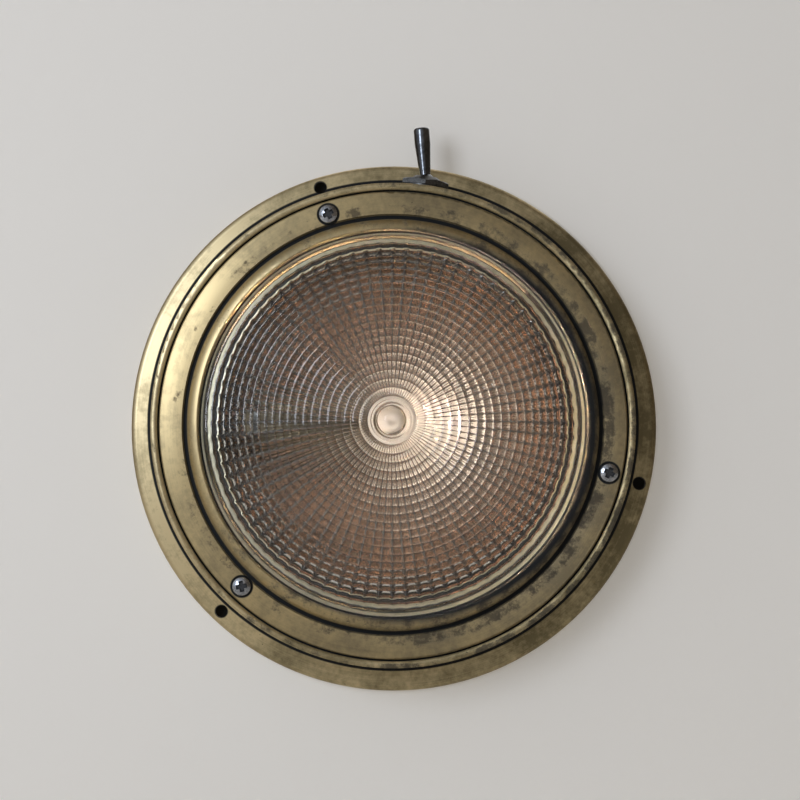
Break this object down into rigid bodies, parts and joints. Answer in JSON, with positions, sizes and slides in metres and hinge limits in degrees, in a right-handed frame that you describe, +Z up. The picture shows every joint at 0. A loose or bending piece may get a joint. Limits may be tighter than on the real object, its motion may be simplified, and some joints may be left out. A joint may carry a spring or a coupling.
{
  "type": "bulkhead lamp",
  "caption": "Round vintage brass bulkhead lamp with a ribbed glass dome lens, a screwed bezel ring and a toggle switch on its side, for mounting on a wall.",
  "frame": {"origin": "centre of the lamp on the wall plane, on the back plate's rear face", "axes": "+Y into the wall along the lamp's axis, +Z up, +X to the right seen from the front"},
  "size_m": [0.19, 0.0587, 0.2021],
  "materials": {
    "aged_brass": "spun brass with a worn satin polish, brown patina and green in the grooves",
    "machined_brass": "turned brass, dull",
    "chrome_screw": "bright plated screw, slightly worn",
    "chrome_lever": "mirror chrome",
    "nickel_steel": "dull nickel-plated steel",
    "plate_steel": "black-painted steel sheet",
    "lens_glass": "clear pressed glass with round and radial ribs",
    "gasket_rubber": "black rubber",
    "block_ceramic": "white porcelain",
    "reflector_aluminium": "satin spun aluminium",
    "phenolic": "dark brown moulded phenolic",
    "base_glass": "black vitreous glass plug",
    "solder": "soft solder",
    "bulb_glass_clear": "thin clear glass",
    "lead_wire": "nickel wire",
    "filament_glow": "coiled tungsten, glowing warm",
    "wire_black": "black insulation",
    "wire_brown": "brown insulation",
    "wire_green_yellow": "green insulation with a yellow stripe"
  },
  "bodies": {
    "lamp_body": {"body_shell": "aged_brass", "seat_ring": "aged_brass", "bezel_ring": "aged_brass", "bezel_screws": "chrome_screw", "screw_bosses": "machined_brass", "lens": "lens_glass", "lens_gasket": "gasket_rubber", "back_plate": "plate_steel", "back_plate_screws": "nickel_steel", "cable_bush": "gasket_rubber", "reflector_posts": "machined_brass", "terminal_block": "block_ceramic", "terminal_clamps": "machined_brass", "terminal_screws": "machined_brass", "block_screws": "nickel_steel", "earth_stud": "machined_brass", "earth_tag": "machined_brass", "earth_nut": "machined_brass", "reflector": "reflector_aluminium", "reflector_screws": "nickel_steel", "lampholder_bracket": "nickel_steel", "lampholder_shell": "machined_brass", "lampholder_nut": "machined_brass", "lampholder_insulator": "phenolic", "lampholder_springs": "nickel_steel", "switch_bushing": "nickel_steel", "switch_nut": "nickel_steel", "switch_lock_washer": "nickel_steel", "switch_back_nut": "nickel_steel", "switch_strap": "nickel_steel", "switch_body": "phenolic", "switch_terminals": "machined_brass", "switch_pivot_pin": "nickel_steel", "wire_neutral": "wire_black", "wire_switched": "wire_brown", "wire_feed": "wire_brown", "wire_earth": "wire_green_yellow"},
    "switch_lever_arm": {"switch_lever": "chrome_lever", "switch_plunger": "nickel_steel", "switch_spring": "nickel_steel"},
    "switch_rocker_contact": {"switch_rocker": "machined_brass"},
    "bulb": {"bulb_cap": "machined_brass", "bulb_base": "base_glass", "bulb_contacts": "solder", "bulb_glass": "bulb_glass_clear", "bulb_stem": "bulb_glass_clear", "bulb_leads": "lead_wire", "bulb_filament": "filament_glow"},
    "holder_contacts": {"lampholder_plungers": "machined_brass"}
  },
  "joints": [
    {"name": "toggle", "type": "hinge", "parent": "lamp_body", "child": "switch_lever_arm", "pos_m": [0.01164, -0.01443, 0.08723], "axis": [0, 1, 0], "range_deg": [0, 24]},
    {"name": "rocker_tilt", "type": "hinge", "parent": "lamp_body", "child": "switch_rocker_contact", "pos_m": [0.00939, -0.01443, 0.07038], "axis": [0, 1, 0], "range_deg": [-14, 0]},
    {"name": "bulb_push", "type": "slide", "parent": "lamp_body", "child": "bulb", "axis": [-1, 0, 0], "range_m": [0, 0.002], "stiffness_N_per_m": 1500, "springref_m": -0.001},
    {"name": "contact_push", "type": "slide", "parent": "lamp_body", "child": "holder_contacts", "axis": [-1, 0, 0], "range_m": [0, 0.002], "deforming": ["lampholder_springs"]}
  ],
  "couplings": [
    {"joint": "rocker_tilt", "follows": "toggle", "ratio": -0.58333},
    {"joint": "contact_push", "follows": "bulb_push", "ratio": 1}
  ]
}
